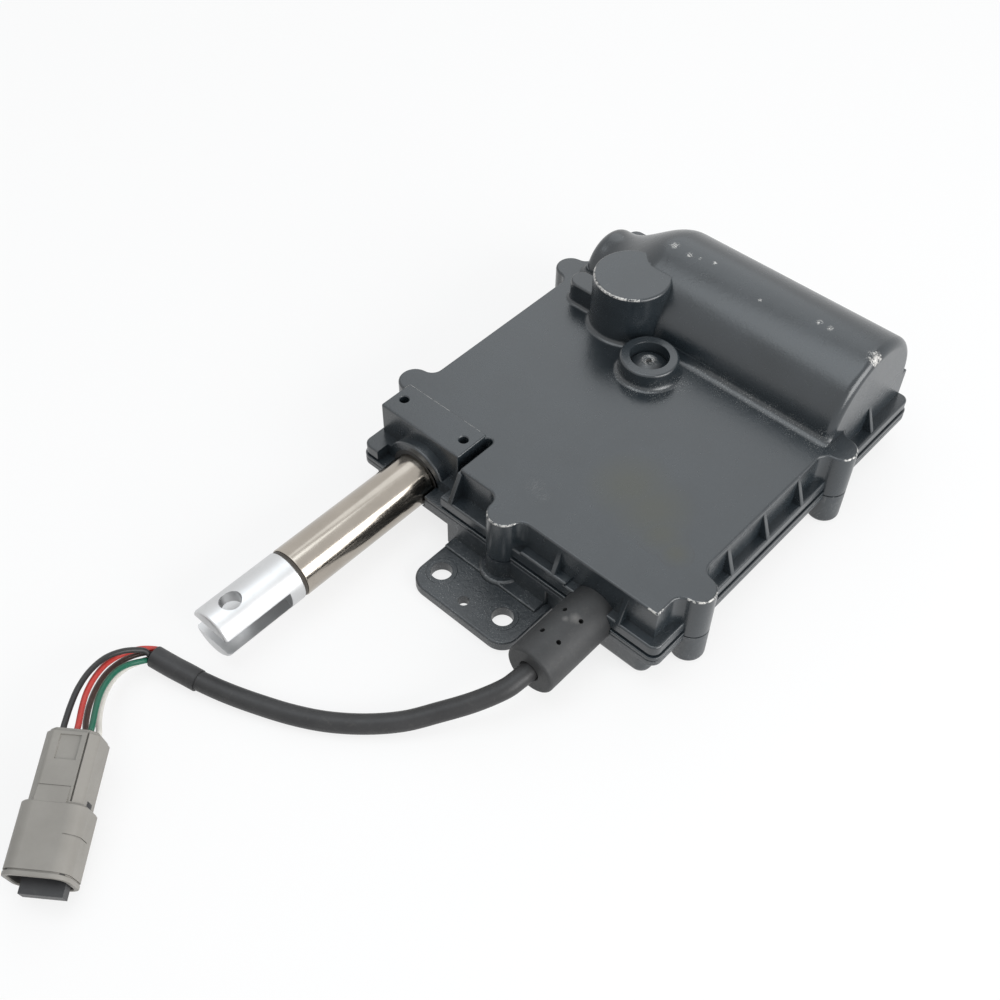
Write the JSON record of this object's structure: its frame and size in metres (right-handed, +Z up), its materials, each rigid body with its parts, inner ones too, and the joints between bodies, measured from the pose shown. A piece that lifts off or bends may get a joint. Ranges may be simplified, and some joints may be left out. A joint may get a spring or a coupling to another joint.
{
  "type": "engine governor actuator",
  "caption": "Electric linear actuator for an engine governor: cast housing over a worm-driven lead screw, sliding rod with a clevis, drilled mounting ear and a cable with a connector.",
  "frame": {"origin": "midway between the two holes of the mounting ear, on the underside that is bolted down", "axes": "+X along the rod, the way that it extends; +Z up, out of the top of the cover; +Y to the cable's side"},
  "size_m": [0.404, 0.1716, 0.0713],
  "materials": {
    "housing": "semi-gloss black paint over cast metal, chipped to bare metal in places",
    "seal": "matte black",
    "screw": "zinc plated",
    "bush": "turned",
    "steel": "ground",
    "motor_steel": "zinc plated sheet",
    "black_plastic": "satin black",
    "bare_aluminium": "satin, machined",
    "magnet": "matte dark grey ferrite",
    "brush": "matte carbon",
    "board": "satin green",
    "grommet_rubber": "matte black",
    "cable_jacket": "satin black",
    "wire_black": "satin",
    "wire_red": "satin",
    "wire_brown": "satin",
    "wire_green": "satin",
    "wire_white": "satin",
    "connector_grey": "matte warm grey",
    "gear_plastic": "matte off-white",
    "plated_tube": "polished nickel plate"
  },
  "bodies": {
    "housing": {"upper_cover": "housing", "lower_tray": "housing", "cover_gasket": "seal", "cover_screws": "screw", "boss_screw": "screw", "guide_bush": "bush", "rod_wiper": "seal", "front_bearing": "steel", "rear_bearing": "steel", "motor_can": "motor_steel", "motor_end_cap": "black_plastic", "motor_front_bracket": "bare_aluminium", "motor_magnets": "magnet", "motor_brushes": "brush", "motor_rear_bush": "bush", "motor_front_bush": "bush", "worm_end_bush": "bush", "potentiometer_body": "black_plastic", "terminal_board": "board", "cable_grommet": "grommet_rubber", "cable_jacket": "cable_jacket", "wire_black": "wire_black", "wire_red": "wire_red", "wire_brown": "wire_brown", "wire_green": "wire_green", "wire_white": "wire_white", "connector_body": "connector_grey", "connector_wedge": "black_plastic", "connector_pins": "bush", "connector_seal": "seal"},
    "rotor": {"motor_shaft": "steel", "motor_armature": "motor_steel", "commutator": "bush", "drive_worm": "steel"},
    "screw": {"lead_screw": "steel", "worm_wheel": "bush", "feedback_worm": "gear_plastic"},
    "rod": {"rod_tube": "plated_tube", "rod_clevis": "bare_aluminium", "clevis_ring": "seal", "drive_nut": "bush"},
    "pot": {"potentiometer_shaft": "steel", "feedback_gear": "gear_plastic"}
  },
  "joints": [
    {"name": "motor_spin", "type": "hinge", "parent": "housing", "child": "rotor", "pos_m": [-0.1688, 0, 0.04], "axis": [0, 1, 0], "range_deg": [0, 64800]},
    {"name": "screw_spin", "type": "hinge", "parent": "housing", "child": "screw", "pos_m": [0, -0.0536, 0.0175], "axis": [1, 0, 0], "range_deg": [0, 3600]},
    {"name": "rod_slide", "type": "slide", "parent": "housing", "child": "rod", "axis": [1, 0, 0], "range_m": [-0.05, 0]},
    {"name": "pot_spin", "type": "hinge", "parent": "housing", "child": "pot", "pos_m": [-0.1418, -0.0357, 0], "axis": [0, 0, 1], "range_deg": [-257.15, 0]}
  ],
  "couplings": [
    {"joint": "screw_spin", "follows": "motor_spin", "ratio": 0.055556},
    {"joint": "rod_slide", "follows": "motor_spin", "m_per_rad": -0.00004421},
    {"joint": "pot_spin", "follows": "motor_spin", "ratio": -0.0039683}
  ]
}
